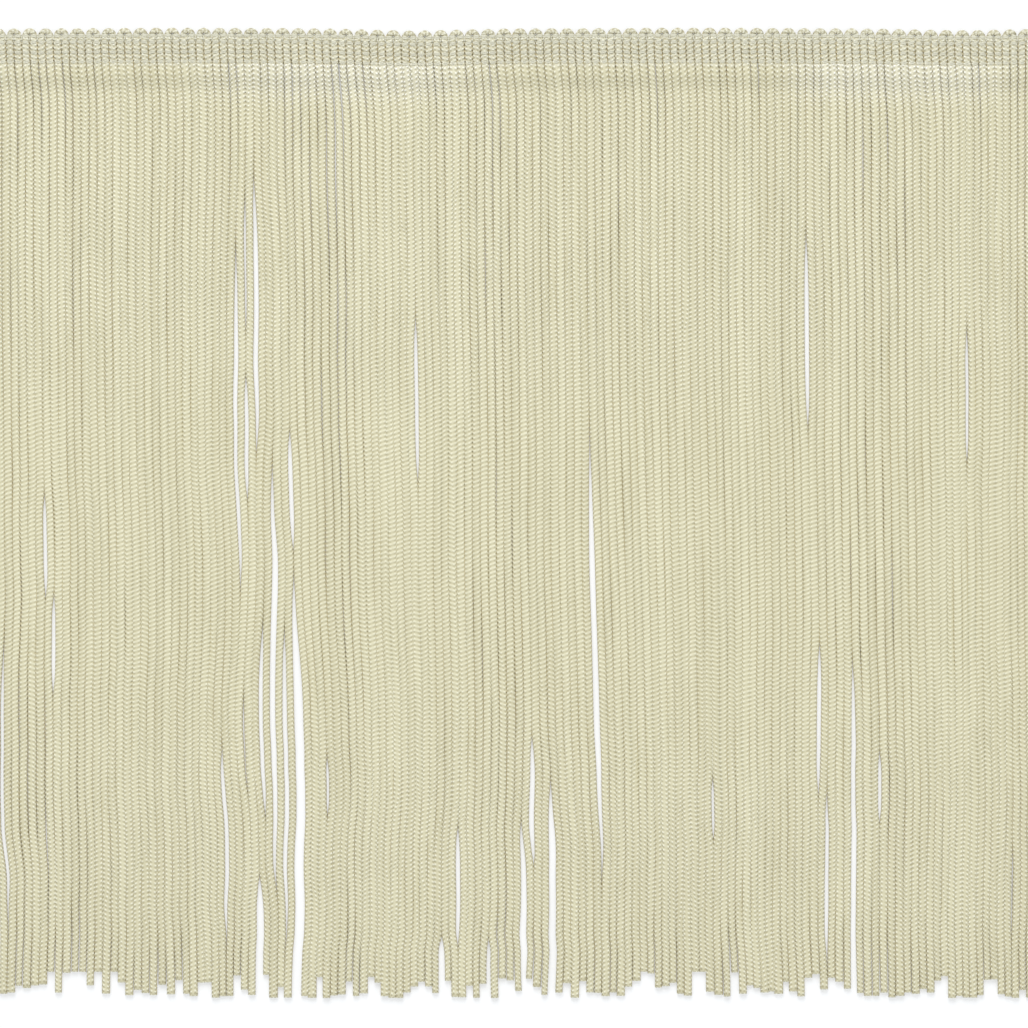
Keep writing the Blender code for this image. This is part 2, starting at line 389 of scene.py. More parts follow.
@dataclass
class MeshParts:
    """Collects the vertices, triangles and corner maps of one piece.

    Rings run clockwise about the way ahead, so that the faces turn outward.

    Attributes:
        points: Vertices with their rise, each part of shape (n, 4).
        faces: Triangles, each part of shape (n, 3).
        maps: Their corners' map coordinates, each part of shape (n, 3, 2).
        smooth: Whether each triangle is shaded smooth.
        tones: The vertices' shades.
        count: How many vertices there are.
    """

    points: list[Array] = field(default_factory=list)
    faces: list[Array] = field(default_factory=list)
    maps: list[Array] = field(default_factory=list)
    smooth: list[Array] = field(default_factory=list)
    tones: list[Array] = field(default_factory=list)
    count: int = 0

    def add_faces(self, corners: Array, maps: Array, smooth: bool = True) -> None:
        """Add triangles.

        Args:
            corners: Vertex numbers, shape (..., 3).
            maps: Map coordinates of the corners, shape (..., 3, 2).
            smooth: Whether they are shaded smooth.
        """
        self.faces.append(corners.reshape(-1, 3))
        self.maps.append(maps.reshape(-1, 3, 2))
        self.smooth.append(np.full(corners.size // 3, smooth))

    def add_points(self, points: Array, tone: float) -> Array:
        """Add vertices.

        Args:
            points: Points, shape (..., 3), or (..., 4) with each one's rise, which is 1 otherwise.
            tone: The shade of the cord that they belong to.

        Returns:
            Their numbers, shape (...).
        """
        index = self.count + np.arange(points[..., 0].size).reshape(points.shape[:-1])
        if points.shape[-1] == 3:
            points = np.concatenate([points, np.ones_like(points[..., :1])], axis=-1)
        self.points.append(points.reshape(-1, 4))
        self.tones.append(np.full(index.size, tone))
        self.count += index.size
        return index

    def add_caps(self, points: Array, index: Array, tone: float) -> None:
        """Close both ends of a cord with flat fans round the mean of each end's ring.

        Args:
            points: The cord's rings, shape (rings, columns, 3 or 4).
            index: Their vertex numbers, shape (rings, columns).
            tone: The cord's shade.
        """
        for ring, step in ((0, 1), (-1, -1)):
            middle = self.add_points(points[ring].mean(axis=0), tone)
            edge = index[ring][::step]
            fan = np.stack([np.full(len(edge), middle), edge, np.roll(edge, -1)], axis=-1)
            self.add_faces(fan, np.tile(MIDDLE_OF_A_LEG, (len(edge), 3, 1)), smooth=False)

    def add_tube(self, rings: Array, around: Array, along: Array, tone: float) -> None:
        """Add a closed tube of evenly numbered rings.

        Args:
            rings: Points, shape (rings, columns, 3 or 4).
            around: Map coordinate of each column, with the closing one added, shape (columns + 1,).
            along: Map coordinate of each ring, shape (rings,).
            tone: The cord's own shade, from 0 to 1.
        """
        index = self.add_points(rings, tone)
        wrapped = np.concatenate([index, index[:, :1]], axis=1)
        mapped = np.stack(np.meshgrid(around, along), axis=-1)
        for first, second, third in (((0, 0), (1, 0), (1, 1)), ((0, 0), (1, 1), (0, 1))):
            self.add_faces(
                np.stack([corner_grid(wrapped, *step) for step in (first, second, third)], axis=-1),
                np.stack([corner_grid(mapped, *step) for step in (first, second, third)], axis=-2),
            )
        self.add_caps(rings, index, tone)

    def add_knit(self, crests: Array, grooves: Array, tone: float) -> None:
        """Add a closed tube with eight points on each stitch's crest and four in the groove after it.

        Six triangles to a leg stand round its groove point, from one crest's three points to the next's.

        Args:
            crests: Points, shape (stitches + 1, 8, 4), by turns between two legs and in a leg's middle.
            grooves: Points in the legs' middles, shape (stitches, 4, 4).
            tone: The cord's own shade, from 0 to 1.
        """
        crest = self.add_points(crests, tone)
        groove = self.add_points(grooves, tone)
        stitch, leg = np.meshgrid(np.arange(len(groove)), np.arange(4), indexing="ij")
        here = {
            "edge": (crest[stitch, 2 * leg], 0.5 * leg, stitch),
            "crest": (crest[stitch, 2 * leg + 1], 0.5 * leg + 0.25, stitch),
            "far_edge": (crest[stitch, (2 * leg + 2) % 8], 0.5 * leg + 0.5, stitch),
            "groove": (groove[stitch, leg], 0.5 * leg + 0.25, stitch + 0.5),
            "next_edge": (crest[stitch + 1, 2 * leg], 0.5 * leg, stitch + 1),
            "next_crest": (crest[stitch + 1, 2 * leg + 1], 0.5 * leg + 0.25, stitch + 1),
            "next_far_edge": (crest[stitch + 1, (2 * leg + 2) % 8], 0.5 * leg + 0.5, stitch + 1),
        }
        for names in (
            ("edge", "groove", "crest"),
            ("crest", "groove", "far_edge"),
            ("far_edge", "groove", "next_far_edge"),
            ("edge", "next_edge", "groove"),
            ("groove", "next_edge", "next_crest"),
            ("groove", "next_crest", "next_far_edge"),
        ):
            corners = [here[name] for name in names]
            self.add_faces(
                np.stack([corner[0] for corner in corners], axis=-1),
                np.stack([np.stack(corner[1:], axis=-1) for corner in corners], axis=-2),
            )
        self.add_caps(crests, crest, tone)

    def build(self, name: str) -> bpy.types.Object:
        """Turn what was collected into an object.

        Args:
            name: The piece's name.

        Returns:
            The new object, at the origin, with the map "Stitch" and the attributes "tone" and "rise".
        """
        points, faces = np.concatenate(self.points), np.concatenate(self.faces)
        points, rises = sagged(points[:, :3]), points[:, 3]
        mesh = bpy.data.meshes.new(name)
        mesh.vertices.add(len(points))
        mesh.vertices.foreach_set("co", points.astype(np.float32).ravel())
        mesh.loops.add(faces.size)
        mesh.loops.foreach_set("vertex_index", faces.astype(np.int32).ravel())
        mesh.polygons.add(len(faces))
        mesh.polygons.foreach_set("loop_start", np.arange(0, faces.size, 3, dtype=np.int32))
        mesh.update(calc_edges=True)
        mesh.polygons.foreach_set("use_smooth", np.concatenate(self.smooth))
        layer = mesh.uv_layers.new(name="Stitch")
        layer.data.foreach_set("uv", np.concatenate(self.maps).astype(np.float32).ravel())
        for label, values in (("tone", np.concatenate(self.tones)), ("rise", rises)):
            mesh.attributes.new(label, "FLOAT", "POINT").data.foreach_set("value", values.astype(np.float32))
        made = bpy.data.objects.new(name, mesh)
        bpy.context.scene.collection.objects.link(made)
        return made


def corner_grid(values: Array, down: int, across: int) -> Array:
    """One corner of every cell of a grid of values, a step down or across from its first."""
    rows, columns = values.shape[0] - 1, values.shape[1] - 1
    return values[down : down + rows, across : across + columns]


@dataclass
class CordWay:
    """The way that a cord takes, closely sampled, and how it is turned and squashed there.

    Attributes:
        points: Points of its middle line, shape (n, 3).
        twist: How far it is turned about its length, shape (n,).
        width: Its width as a share of the round cord's, shape (n,).
        height: Its height as a share of the round cord's, shape (n,).
        travelled: Distances of the points along it, shape (n,).
        ahead: Its directions, shape (n, 3).
        side: The level directions across it, shape (n, 3).
    """

    points: Array
    twist: Array
    width: Array
    height: Array
    travelled: Array = field(init=False)
    ahead: Array = field(init=False)
    side: Array = field(init=False)

    def __post_init__(self) -> None:
        """Measure the way and find its directions."""
        steps = np.linalg.norm(np.diff(self.points, axis=0), axis=1)
        self.travelled = np.concatenate([[0], np.cumsum(steps)])
        ahead = np.gradient(self.points, axis=0)
        self.ahead = ahead / np.linalg.norm(ahead, axis=1, keepdims=True)
        side = np.cross(self.ahead, [0.0, 0.0, 1.0])
        self.side = side / np.linalg.norm(side, axis=1, keepdims=True)

    def read(self, values: Array, at: Array) -> Array:
        """Values given along the way, at other distances along it.

        Args:
            values: Values at the way's points, shape (n,) or (n, 3).
            at: Distances, of any shape.

        Returns:
            The values, of the shape of the distances, with a last axis of 3 if they have one.
        """
        if values.ndim == 1:
            return np.interp(at, self.travelled, values)
        return np.stack([np.interp(at, self.travelled, values[:, axis]) for axis in range(3)], axis=-1)


@dataclass(frozen=True)
class KnitTube:
    """The surface of chainette: two wales of stitches, each stitch two legs that close to a V.

    Attributes:
        radius: The cord's outer radius, before it is flattened.
        stitch: Length of one stitch.
        tuck: How deep the surface is between stitches, as a share of the radius.
        furrow: How deep it is between two legs, as a share of the radius.
        slant: How far a leg's outer end is above its inner one, in stitches.
        boxiness: The power of cosine and sine that squares the section; 1 is round.
        square_end: Stitches over which the zigzag of the legs dies out at an end.
    """

    radius: float = 1.04 * MM
    stitch: float = 1.076 * MM
    tuck: float = 0.12
    furrow: float = 0.03
    slant: float = 0.85
    boxiness: float = 0.5
    square_end: float = 1.3

    def points(self, way: CordWay, across: Array, stitches: Array, total: int) -> Array:
        """Points of the surface.

        A ring zigzags: it is lowest in the middle of a wale and highest between wales, so that it follows
        the legs. Its radius is radius * (1 - tuck * (1 - cos of the stitch phase) / 2), less the furrow
        between legs. The zigzag dies out at both ends of the cord, which are square.

        Args:
            way: The cord's way.
            across: Each column's place round the cord, in wales.
            stitches: Each ring's place along it, in stitches.
            total: How many stitches the cord has.

        Returns:
            Points, shape (rings, columns, 4): each has its rise after its place, from 0 on the cord's
            flanks to 1 on its upper and under sides.
        """
        length = way.travelled[-1]
        ring_at = stitches * length / total
        zigzag = 2 * np.abs(across - np.floor(across) - 0.5) - 0.5
        near_end = np.clip(np.minimum(stitches, total - stitches) / self.square_end, 0, 1)
        back = self.slant * length / total * near_end[:, None] * zigzag[None, :]
        at = np.clip(ring_at[:, None] - back, 0, length)
        sunk = self.tuck * (1 - np.cos(2 * np.pi * stitches)) / 2
        between_legs = np.cos(2 * np.pi * across) ** 2
        reach = self.radius * (1 - sunk[:, None]) * (1 - self.furrow * between_legs[None, :])
        angle = np.pi * across[None, :] + way.read(way.twist, ring_at)[:, None]
        wide, high = (
            np.sign(part) * np.abs(part) ** self.boxiness for part in (np.cos(angle), np.sin(angle))
        )
        centre, ahead, side = (way.read(values, at) for values in (way.points, way.ahead, way.side))
        aside = (reach * wide * way.read(way.width, at))[:, :, None] * side
        upward = (reach * high * way.read(way.height, at))[:, :, None] * np.cross(side, ahead)
        return np.concatenate([centre + aside + upward, np.abs(high)[:, :, None]], axis=-1)

    def add_light(self, parts: MeshParts, way: CordWay, tone: float) -> None:
        """Add a cord of 24 triangles a stitch, for the long strands.

        Args:
            parts: Where it is collected.
            way: The cord's way.
            tone: Its shade.
        """
        total = int(round(way.travelled[-1] / self.stitch))
        crests = self.points(way, np.arange(8) / 4, np.arange(total + 1.0), total)
        grooves = self.points(way, np.arange(4) / 2 + 0.25, np.arange(total) + 0.5, total)
        parts.add_knit(crests, grooves, tone)

    def add_fine(self, parts: MeshParts, way: CordWay, tone: float, rings: int = 4) -> None:
        """Add a cord of 16 triangles to each of the rings of a stitch, for cords that bend sharply.

        Args:
            parts: Where it is collected.
            way: The cord's way.
            tone: Its shade.
            rings: Rings to a stitch.
        """
        total = int(round(way.travelled[-1] / self.stitch))
        stitches = np.arange(total * rings + 1) / rings
        points = self.points(way, np.arange(8) / 4, stitches, total)
        parts.add_tube(points, np.arange(9) / 4, stitches, tone)


@dataclass
class SubAssembly:
    """Something that a maker fits as one, whose pieces share a finish and ride on the trim.

    Attributes:
        lay: How the strands lie.
    """

    lay: Lay

    def dress(self, piece: bpy.types.Object, finish: bpy.types.Material, slot: Slot, node: str) -> None:
        """Give a piece its finish, and tie it to the frame.

        Args:
            piece: The new piece.
            finish: Its material.
            slot: The record's material slot. Not used.
            node: The solid that it stands for.
        """
        piece.data.materials.append(finish)
        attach(piece, "root")
        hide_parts(node)
        LOG.info("%s: %d faces", piece.name, len(piece.data.polygons))


@dataclass
class FringeStrands(SubAssembly):
    """The free strands below the heading, as knitted tubes that lie on the surface.

    Attributes:
        tube: The cord's surface.
        start: Depth below the heading's foot where these tubes begin.
        strands_in_piece: How many strands share a mesh.
        samples: Points along a strand's way.
        seed: Seed of what differs between strands.
        most_lift: The most that a strand lies above the surface.
        lift_lengths: Wavelengths of its lifts.
        lifts_from: Depths between which its lifts begin.
        turn_lengths: Wavelengths of its slow turning.
        first_turn: The most that a strand is turned where it starts, from a wale that faces up.
        more_turn: How much more it turns where it isn't held straight.
        straightens: Depths between which a strand comes to be held straight.
        lets_go: Depths between which it is let go again.
        plump: Share of the round cord's height that a strand has in the heading.
        flatness: Share of it where the strand lies on the surface.
        flattens: Depths between which it comes to that.
        squeezed: Share of the round cord's width that it has between near neighbours.
        loose_width: Share of it beside a slit.
        apart: Distances between which two neighbours stop pressing on each other.
        uneven: How much narrower the slackest strand is.
        gather: How much narrower a strand may be just below the heading.
        gather_reach: How far from the heading's foot that reaches.
        slim_end: How much narrower a strand may be at its cut end.
        slim_reach: How far from the cut end that begins.
        stitch_spread: Standard deviation of the stitches' length between strands, as a share.
    """

    tube: KnitTube
    start: float = -0.7 * MM
    strands_in_piece: int = 22
    samples: int = 640
    seed: int = 23
    most_lift: float = 0.35 * MM
    lift_lengths: tuple[float, ...] = (170 * MM, 90 * MM, 52 * MM)
    lifts_from: tuple[float, float] = (2 * MM, 20 * MM)
    turn_lengths: tuple[float, ...] = (520 * MM, 260 * MM, 150 * MM)
    first_turn: float = np.pi / 4
    more_turn: float = 1.2
    straightens: tuple[float, float] = (35 * MM, 75 * MM)
    lets_go: tuple[float, float] = (130 * MM, 185 * MM)
    plump: float = 0.84
    flatness: float = 0.53
    flattens: tuple[float, float] = (-0.5 * MM, 7 * MM)
    squeezed: float = 1.11
    loose_width: float = 0.89
    apart: tuple[float, float] = (2.0 * MM, 2.45 * MM)
    uneven: float = 0.14
    gather: float = 0.2
    gather_reach: float = 20 * MM
    slim_end: float = 0.24
    slim_reach: float = 26 * MM
    stitch_spread: float = 0.012

    def edges(self, places: Array, slack: Array) -> tuple[Array, Array]:
        """Room that each strand takes: pressed flat against a near neighbour, rounder beside a slit.

        Args:
            places: Places along X, shape (strands, n).
            slack: How slack each strand's knit is, from 0 to 1, shape (strands,).

        Returns:
            The strands' middles and their widths as shares of the round cord's, of the same shape.
        """
        spacing = np.diff(places, axis=0)
        close = self.squeezed - self.uneven * slack[:, None] + np.zeros_like(places)
        sides = []
        for gaps in (np.concatenate([spacing[:1], spacing]), np.concatenate([spacing, spacing[-1:]])):
            alone = smooth_step(gaps, *self.apart)
            sides.append(close + (self.loose_width - close) * alone)
        left, right = sides
        return places + self.tube.radius * (right - left) / 2, (left + right) / 2

    def way(self, depth: Array, x: Array, lift: Array, turn: Array, width: Array, first: float) -> CordWay:
        """The way of one strand, from its values at depths below the heading's foot.

        It is held straight, a wale facing up, halfway down, and turns more above and below that.

        Args:
            depth: Depths, from its start to its cut end, shape (n,).
            x: Places along X.
            lift: Heights above the surface.
            turn: Its slow turning.
            width: Its width as a share of the round cord's.
            first: How far it is turned where it starts.

        Returns:
            The cord's way.
        """
        straight = smooth_step(depth, *self.straightens) * (1 - smooth_step(depth, *self.lets_go))
        above = 1 - smooth_step(depth, *self.flattens)
        return CordWay(
            points=np.stack([x, self.lay.foot - depth, self.lay.middle_height(depth) + lift], axis=-1),
            twist=-np.pi / 4 + turn + (first + self.more_turn * turn) * (1 - straight),
            width=width,
            height=self.flatness + (self.plump - self.flatness) * above,
        )

    def make(self, finish: bpy.types.Material) -> list[bpy.types.Object]:
        """Build and dress the strands, several to a piece.

        Args:
            finish: The cord's material.

        Returns:
            The pieces, from the left end.
        """
        chance = np.random.default_rng(self.seed)
        many = self.lay.strands
        table = np.linspace(self.start, self.lay.drop, 700)
        places = self.lay.places(table)
        lengths = self.lay.lengths()
        lifts = waves(table, self.lift_lengths, chance.uniform(0, 2 * np.pi, (many, 3)))
        lifts = self.most_lift * np.clip(lifts, 0, 1) * smooth_step(table, *self.lifts_from)
        turns = waves(table, self.turn_lengths, chance.uniform(0, 2 * np.pi, (many, 3)))
        places, widths = self.edges(places, chance.random(many) ** 2)
        widths = widths - self.gather * bell(table, 0, self.gather_reach) * chance.random((many, 1)) ** 2
        first = chance.uniform(-self.first_turn, self.first_turn, many)
        stitch = self.tube.stitch * chance.normal(1, self.stitch_spread, many)
        tones = chance.random(many)
        slim = self.slim_end * chance.random(many)
        made = []
        parts = MeshParts()
        for strand in range(many):
            depth = np.linspace(self.start, lengths[strand], self.samples)
            x, lift, turn, width = (
                np.interp(depth, table, values[strand]) for values in (places, lifts, turns, widths)
            )
            near_end = smooth_step(depth, lengths[strand] - self.slim_reach, lengths[strand])
            way = self.way(depth, x, lift, turn, width * (1 - slim[strand] * near_end), first[strand])
            replace(self.tube, stitch=stitch[strand]).add_light(parts, way, tones[strand])
            if (strand + 1) % self.strands_in_piece == 0:
                made.append(parts.build(f"fringe_strands_{len(made) + 1}"))
                self.dress(made[-1], finish, Slot.CORD, "fringe_comb")
                parts = MeshParts()
        return made


@dataclass
class HeadingLoops(SubAssembly):
    """The loops of chainette that make the heading and its scalloped edge.

    Attributes:
        tube: The cord's surface.
        seed: Seed of what differs between loops.
        foot_depth: Depth below the heading's foot where these cords end.
        tucked: Share by which those ends shrink, which are tucked into the strands.
        tucks: Depths below the heading's foot between which they do.
        arc_height: Height of the arc of a loop's middle line.
        turns_from: Depth below the tops of the loops where a loop begins to turn.
        turns_to: Depth where it has its arc's section.
        width: Its legs' width as a share of the round cord's.
        height: Its legs' height as a share of the round cord's.
        bend: Share of width and height that it keeps as it turns.
        bulge: How much wider than its two legs a loop is where it turns.
        waist: Share of its width that the cord keeps under a binding row.
        pressed: How much flatter it is there.
        press_reach: How far a binding row presses it.
        crease: How much flatter it is where a scallop folds over the first row.
        crease_depth: Depth of that fold below the tops of the loops.
        crease_reach: How far the fold reaches.
        twist_spread: Standard deviation of a loop's twist from end to end.
    """

    tube: KnitTube
    seed: int = 31
    foot_depth: float = 1.2 * MM
    tucked: float = 0.34
    tucks: tuple[float, float] = (-0.6 * MM, -0.2 * MM)
    arc_height: float = 1.2 * MM
    turns_from: float = 2.7 * MM
    turns_to: float = 1.9 * MM
    width: float = 1.05
    height: float = 0.95
    bend: float = 0.65
    bulge: float = 1.15
    waist: float = 0.91
    pressed: float = 0.2
    press_reach: float = 0.5 * MM
    crease: float = 0.4
    crease_depth: float = 1.62 * MM
    crease_reach: float = 0.24 * MM
    twist_spread: float = 0.6

    def way(self, loop: int, chance: np.random.Generator) -> CordWay:
        """The way of one loop: up its left leg, round the top and down its right leg.

        The arc's X is the cosine and its Y the sine of an angle that runs from pi to 0.

        Args:
            loop: The loop's number, from the left end.
            chance: Where its twist is drawn.

        Returns:
            The cord's way.
        """
        foot, top = self.lay.foot, self.lay.top
        top_of_leg = self.lay.heading_depth - self.tube.radius * self.bend - self.arc_height
        depth = np.linspace(self.foot_depth, -top_of_leg, 60)
        left, right = self.lay.places(depth)[2 * loop : 2 * loop + 2]
        turn = np.linspace(np.pi, 0, 25)[1:-1]
        arc_x = (left[-1] + right[-1]) / 2 - (left[-1] - right[-1]) / 2 * np.cos(turn)
        arc_y = foot + top_of_leg + self.arc_height * np.sin(turn)
        x = np.concatenate([left, arc_x, right[::-1]])
        y = np.concatenate([foot - depth, arc_y, (foot - depth)[::-1]])
        turning = smooth_step(y, top - self.turns_from, top - self.turns_to)
        centre = np.interp(y, (foot - depth), (left + right) / 2)
        x = centre + (x - centre) * (1 + (self.bulge - 1) * turning)
        pressed = np.zeros(len(y))
        for row in self.lay.row_depths:
            pressed += bell(top - y, row, self.press_reach)
        turning = turning * (1 - pressed / 2)
        kept = 1 - self.tucked * smooth_step(foot - y, *self.tucks)
        width = self.width - (1 - self.waist) * pressed - (1 - self.bend) * turning
        height = self.height - self.pressed * pressed - (self.height - self.bend) * turning
        height = height - self.crease * bell(top - y, self.crease_depth, self.crease_reach)
        along = np.linspace(0, 1, len(x))
        return CordWay(
            points=np.stack([x, y, self.lay.middle_height(foot - y)], axis=-1),
            twist=chance.uniform(0, 2 * np.pi) + chance.normal(0, self.twist_spread) * along,
            width=width * kept,
            height=height * kept,
        )

    def make(self, finish: bpy.types.Material) -> bpy.types.Object:
        """Build and dress all the loops.

        Args:
            finish: The cord's material.

        Returns:
            Their one piece.
        """
        chance = np.random.default_rng(self.seed)
        parts = MeshParts()
        for loop in range(self.lay.strands // 2):
            self.tube.add_fine(parts, self.way(loop, chance), chance.random())
        made = parts.build("heading_loops")
        self.dress(made, finish, Slot.CORD, "fringe_comb")
        return made

    def declare(self, heading: bpy.types.Object, others: list[bpy.types.Object]) -> None:
        """Declares nothing; the heading's flat width runs from the tops of the loops to their ends, and its
        length is the cut length.

        Args:
            heading: The loops' piece. Not used.
            others: The strands' and the threads' pieces. Not used.
        """


def thread_rings(centre: Array, radius: float, sides: int) -> Array:
    """Carry a round thread along a way: a circle across it at each point.

    Args:
        centre: Points of its middle line, shape (n, 3).
        radius: Its radius.
        sides: Its sides.

    Returns:
        Points, shape (n, sides, 3).
    """
    ahead = np.gradient(centre, axis=0)
    ahead /= np.linalg.norm(ahead, axis=1, keepdims=True)
    aside = np.where(np.abs(ahead[:, 1:2]) > 0.8, [[1.0, 0.0, 0.0]], [[0.0, 1.0, 0.0]])
    across = np.cross(ahead, aside)
    across /= np.linalg.norm(across, axis=1, keepdims=True)
    other = np.cross(across, ahead)
    angle = np.linspace(0, 2 * np.pi, sides, endpoint=False)[None, :, None]
    ring = np.cos(angle) * across[:, None, :] + np.sin(angle) * other[:, None, :]
    return centre[:, None, :] + radius * ring


@dataclass
class BindingRow(SubAssembly):
    """One row of binding thread, over every strand at the front and at the back.

    Attributes:
        number: The row's number, from the top.
        radius: The front threads' radius.
        spread: Half the distance between the two front threads, where they cross a strand.
        nearer: Share of that distance that is left between strands.
        pinch: Power of the cosine that shapes a thread's arch over a strand.
        dive: Height of their middle lines between strands.
        face: Height of the front threads' upper side over a strand.
        top_face: The same, for the first row.
        back_radius: The back threads' radius.
        back_spread: Half the distance between the two back threads.
        back_dive: Height of their middle lines between strands.
        under_eyes: How much higher up the first row's back threads lie, under the openings of the scallops.
        tied_row: The row that is tied to the one above it, by short threads between strands.
        rung_radius: Those threads' radius.
        rung_height: Height of their middle lines where they end.
        rung_arch: How much higher they are halfway.
        first_seed: Seed of the shades of the row numbered 0; each next row takes the next.
    """

    number: int
    radius: float = 0.21 * MM
    spread: float = 0.19 * MM
    nearer: float = 0.4
    pinch: float = 1.25
    dive: float = 0.45 * MM
    face: float = 2.24 * MM
    top_face: float = 2.1 * MM
    back_radius: float = 0.17 * MM
    back_spread: float = 0.15 * MM
    back_dive: float = 0.9 * MM
    under_eyes: float = 0.28 * MM
    tied_row: int = 2
    rung_radius: float = 0.22 * MM
    rung_height: float = 1.25 * MM
    rung_arch: float = 0.55 * MM
    first_seed: int = 40

    @property
    def y(self) -> float:
        """The row's middle, along Y."""
        return self.lay.top - self.lay.row_depths[self.number - 1]

    def strand_x(self) -> Array:
        """Where the strands cross the row, along X."""
        return self.lay.places(np.array([self.lay.foot - self.y]))[:, 0]

    def thread(self, face: float, dive: float, offset: float, points: int) -> tuple[Array, Array]:
        """The way of a thread that arches over each strand and dives between them.

        Over a strand it follows half of a pinched ellipse: across is half the pitch times the sine of an
        angle, and height is the cosine of it to a power.

        Args:
            face: Height of its middle line over a strand.
            dive: Its height between strands.
            offset: How far it lies above the row's middle over a strand.
            points: Points to a strand.

        Returns:
            Points, shape (n, 3), and how far along each is, in strands.
        """
        turn = np.linspace(-0.5, 0.5, points, endpoint=False) * np.pi
        count = (np.arange(self.lay.strands)[:, None] + 0.5 * np.sin(turn)[None, :]).ravel()
        over = np.tile(np.cos(turn), self.lay.strands)
        count = np.append(count, self.lay.strands - 0.5)
        over = np.append(over, 0)
        within = np.clip(count, 0, self.lay.strands - 1)
        x = np.interp(within, np.arange(self.lay.strands), self.strand_x())
        x = x + (count - within) * self.lay.pitch
        y = self.y + offset * (self.nearer + (1 - self.nearer) * over)
        return np.stack([x, y, dive + (face - dive) * over**self.pinch], axis=-1), count

    def make(self, finish: bpy.types.Material) -> bpy.types.Object:
        """Build and dress the row's front pair of threads and its back pair.

        Args:
            finish: The thread's material.

        Returns:
            The row's piece.
        """
        chance = np.random.default_rng(self.first_seed + self.number)
        front = (self.top_face if self.number == 1 else self.face) - self.radius
        shift = self.under_eyes if self.number == 1 else 0
        parts = MeshParts()
        for face, dive, offset, points, sides, radius in (
            (front, self.dive, self.spread, 8, 6, self.radius),
            (front, self.dive, -self.spread, 8, 6, self.radius),
            (self.back_radius, self.back_dive, shift + self.back_spread, 6, 5, self.back_radius),
            (self.back_radius, self.back_dive, shift - self.back_spread, 6, 5, self.back_radius),
        ):
            centre, count = self.thread(face, dive, offset, points)
            rings = thread_rings(centre, radius, sides)
            parts.add_tube(rings, np.arange(sides + 1) / sides, count, chance.random())
        if self.number == self.tied_row:
            self.add_rungs(parts, chance)
        made = parts.build(f"binding_thread_{self.number}")
        self.dress(made, finish, Slot.THREAD, f"binding_row_{self.number}")
        return made

    def add_rungs(self, parts: MeshParts, chance: np.random.Generator) -> None:
        """Add the short threads between strands that tie this row to the one above.

        Args:
            parts: Where they are collected.
            chance: Where their shades are drawn.
        """
        above = BindingRow(self.lay, self.number - 1)
        low_x, high_x = self.strand_x(), above.strand_x()
        share = np.linspace(0, 1, 6)
        for strand in range(self.lay.strands - 1):
            low = (low_x[strand] + low_x[strand + 1]) / 2
            high = (high_x[strand] + high_x[strand + 1]) / 2
            x = low + (high - low) * share
            y = self.y + (above.y - self.y) * share
            z = self.rung_height + self.rung_arch * np.sin(np.pi * share)
            rings = thread_rings(np.stack([x, y, z], axis=-1), self.rung_radius, 5)
            parts.add_tube(rings, np.arange(6) / 5, share, chance.random())


